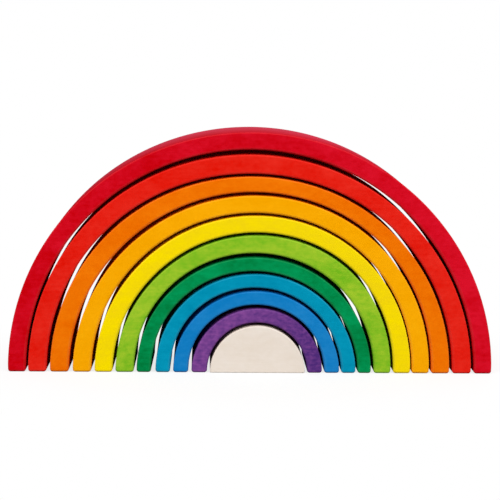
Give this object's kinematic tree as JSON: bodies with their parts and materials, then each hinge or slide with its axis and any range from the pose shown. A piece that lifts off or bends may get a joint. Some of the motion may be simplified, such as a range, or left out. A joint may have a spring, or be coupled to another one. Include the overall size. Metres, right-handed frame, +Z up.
{
  "type": "rainbow stacker",
  "caption": "Wooden stacking toy: loose half-round arches in rainbow colours, nested over a plain half disc on one flat base, to slide out, stack and balance.",
  "frame": {"origin": "on the base plane, at the middle of the outermost arch's width and depth", "axes": "+X across the rainbow, +Y from the front to the back, +Z up"},
  "size_m": [0.36, 0.06, 0.18],
  "materials": {
    "natural_wood": "matte",
    "violet_stain": "matte",
    "blue_stain": "matte",
    "turquoise_stain": "matte",
    "green_stain": "matte",
    "lime_stain": "matte",
    "yellow_stain": "matte",
    "amber_stain": "matte",
    "orange_stain": "matte",
    "red_stain": "matte",
    "crimson_stain": "matte"
  },
  "bodies": {
    "crimson_arch": {"crimson_arch": "crimson_stain"},
    "red_arch": {"red_arch": "red_stain"},
    "orange_arch": {"orange_arch": "orange_stain"},
    "amber_arch": {"amber_arch": "amber_stain"},
    "yellow_arch": {"yellow_arch": "yellow_stain"},
    "lime_arch": {"lime_arch": "lime_stain"},
    "green_arch": {"green_arch": "green_stain"},
    "turquoise_arch": {"turquoise_arch": "turquoise_stain"},
    "blue_arch": {"blue_arch": "blue_stain"},
    "violet_arch": {"violet_arch": "violet_stain"},
    "half_disc": {"half_disc": "natural_wood"}
  },
  "joints": [
    {"name": "red_arch_slide", "type": "slide", "parent": "crimson_arch", "child": "red_arch", "axis": [0, 1, 0], "range_m": [-0.08, 0.08]},
    {"name": "orange_arch_slide", "type": "slide", "parent": "crimson_arch", "child": "orange_arch", "axis": [0, 1, 0], "range_m": [-0.08, 0.08]},
    {"name": "amber_arch_slide", "type": "slide", "parent": "crimson_arch", "child": "amber_arch", "axis": [0, 1, 0], "range_m": [-0.08, 0.08]},
    {"name": "yellow_arch_slide", "type": "slide", "parent": "crimson_arch", "child": "yellow_arch", "axis": [0, 1, 0], "range_m": [-0.08, 0.08]},
    {"name": "lime_arch_slide", "type": "slide", "parent": "crimson_arch", "child": "lime_arch", "axis": [0, 1, 0], "range_m": [-0.08, 0.08]},
    {"name": "green_arch_slide", "type": "slide", "parent": "crimson_arch", "child": "green_arch", "axis": [0, 1, 0], "range_m": [-0.08, 0.08]},
    {"name": "turquoise_arch_slide", "type": "slide", "parent": "crimson_arch", "child": "turquoise_arch", "axis": [0, 1, 0], "range_m": [-0.08, 0.08]},
    {"name": "blue_arch_slide", "type": "slide", "parent": "crimson_arch", "child": "blue_arch", "axis": [0, 1, 0], "range_m": [-0.08, 0.08]},
    {"name": "violet_arch_slide", "type": "slide", "parent": "crimson_arch", "child": "violet_arch", "axis": [0, 1, 0], "range_m": [-0.08, 0.08]},
    {"name": "half_disc_slide", "type": "slide", "parent": "crimson_arch", "child": "half_disc", "axis": [0, 1, 0], "range_m": [-0.08, 0.08]}
  ]
}
